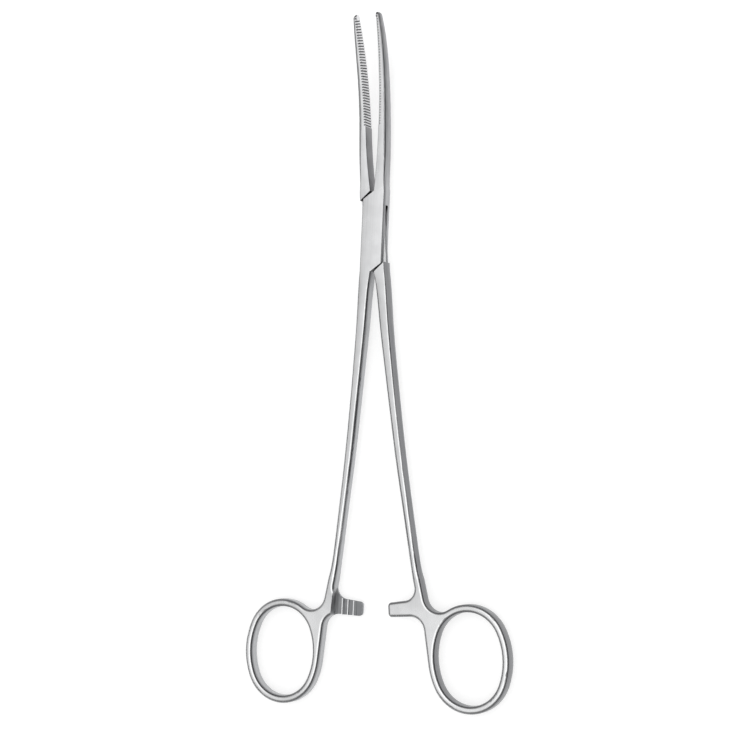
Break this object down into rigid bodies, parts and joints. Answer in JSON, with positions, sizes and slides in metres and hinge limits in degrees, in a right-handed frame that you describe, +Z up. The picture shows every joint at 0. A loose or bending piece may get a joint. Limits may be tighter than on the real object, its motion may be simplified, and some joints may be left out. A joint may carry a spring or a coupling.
{
  "type": "dissecting forceps",
  "caption": "Ring-handled steel forceps with slender serrated jaws curved at the tips, a box lock and stepped ratchet arms between the finger rings.",
  "frame": {"origin": "on the joint axis, at the level of the surface that the forceps lies on", "axes": "+Y along the instrument from the joint to the jaw tips, +X to the right, +Z up along the joint axis, towards which the jaws curve"},
  "size_m": [0.1005, 0.2387, 0.0095],
  "materials": {
    "box_half_steel": "satin ground stainless steel with polished edges",
    "tenon_half_steel": "satin ground stainless steel with polished edges",
    "pin_steel": "ground flush with the lock"
  },
  "bodies": {
    "box_side": {"box_half": "box_half_steel", "hinge_pin": "pin_steel"},
    "tenon_side": {"tenon_half": "tenon_half_steel"}
  },
  "joints": [
    {"name": "lock_hinge", "type": "hinge", "parent": "box_side", "child": "tenon_side", "pos_m": [0, 0, 0.0024], "axis": [0, 0, 1], "range_deg": [-5.6, 48]}
  ]
}
